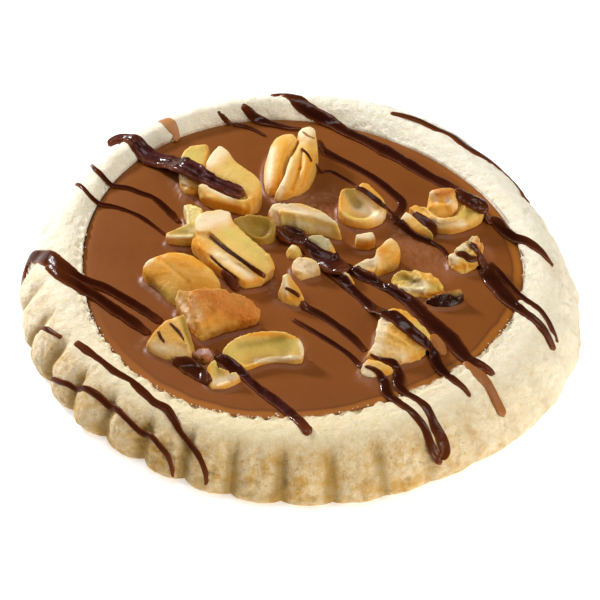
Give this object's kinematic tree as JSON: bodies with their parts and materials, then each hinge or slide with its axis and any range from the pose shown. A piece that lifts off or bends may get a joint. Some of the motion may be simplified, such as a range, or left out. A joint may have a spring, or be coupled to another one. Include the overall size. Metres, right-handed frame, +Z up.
{
  "type": "tartlet",
  "caption": "Round fluted shortcrust tartlet, filled level with milk chocolate, topped with broken cashews and a dark chocolate drizzle.",
  "frame": {"origin": "middle of the base, on the surface the tartlet rests on", "axes": "+Z up, +X to the right and -Y towards the front, where the flutes are deepest"},
  "size_m": [0.1, 0.1004, 0.016],
  "materials": {
    "shortcrust": "matte, pale baked shortcrust pastry with light brown spots",
    "milk_chocolate": "satin milk chocolate",
    "cashew": "satin roasted cashew, pale cream to golden brown"
  },
  "bodies": {
    "root": {"crust": "shortcrust", "filling": "milk_chocolate", "cashew_saddle": "cashew", "cashew_trough": "cashew", "cashew_whole_left": "cashew", "cashew_whole_right": "cashew", "cashew_toasted": "cashew", "cashew_rounded": "cashew", "cashew_crescent": "cashew", "cashew_flaky": "cashew", "cashew_cup": "cashew", "cashew_bar": "cashew", "cashew_sickle": "cashew", "cashew_slice": "cashew", "cashew_fan": "cashew", "cashew_shell": "cashew", "cashew_forked": "cashew", "cashew_oblong": "cashew", "cashew_dimpled": "cashew", "cashew_knob": "cashew", "cashew_craggy": "cashew", "cashew_nook": "cashew", "cashew_lump": "cashew", "cashew_wedge": "cashew", "cashew_pale": "cashew", "cashew_green": "cashew", "cashew_cube": "cashew", "cashew_sliver": "cashew", "cashew_tip": "cashew", "cashew_coated": "cashew"}
  },
  "joints": []
}
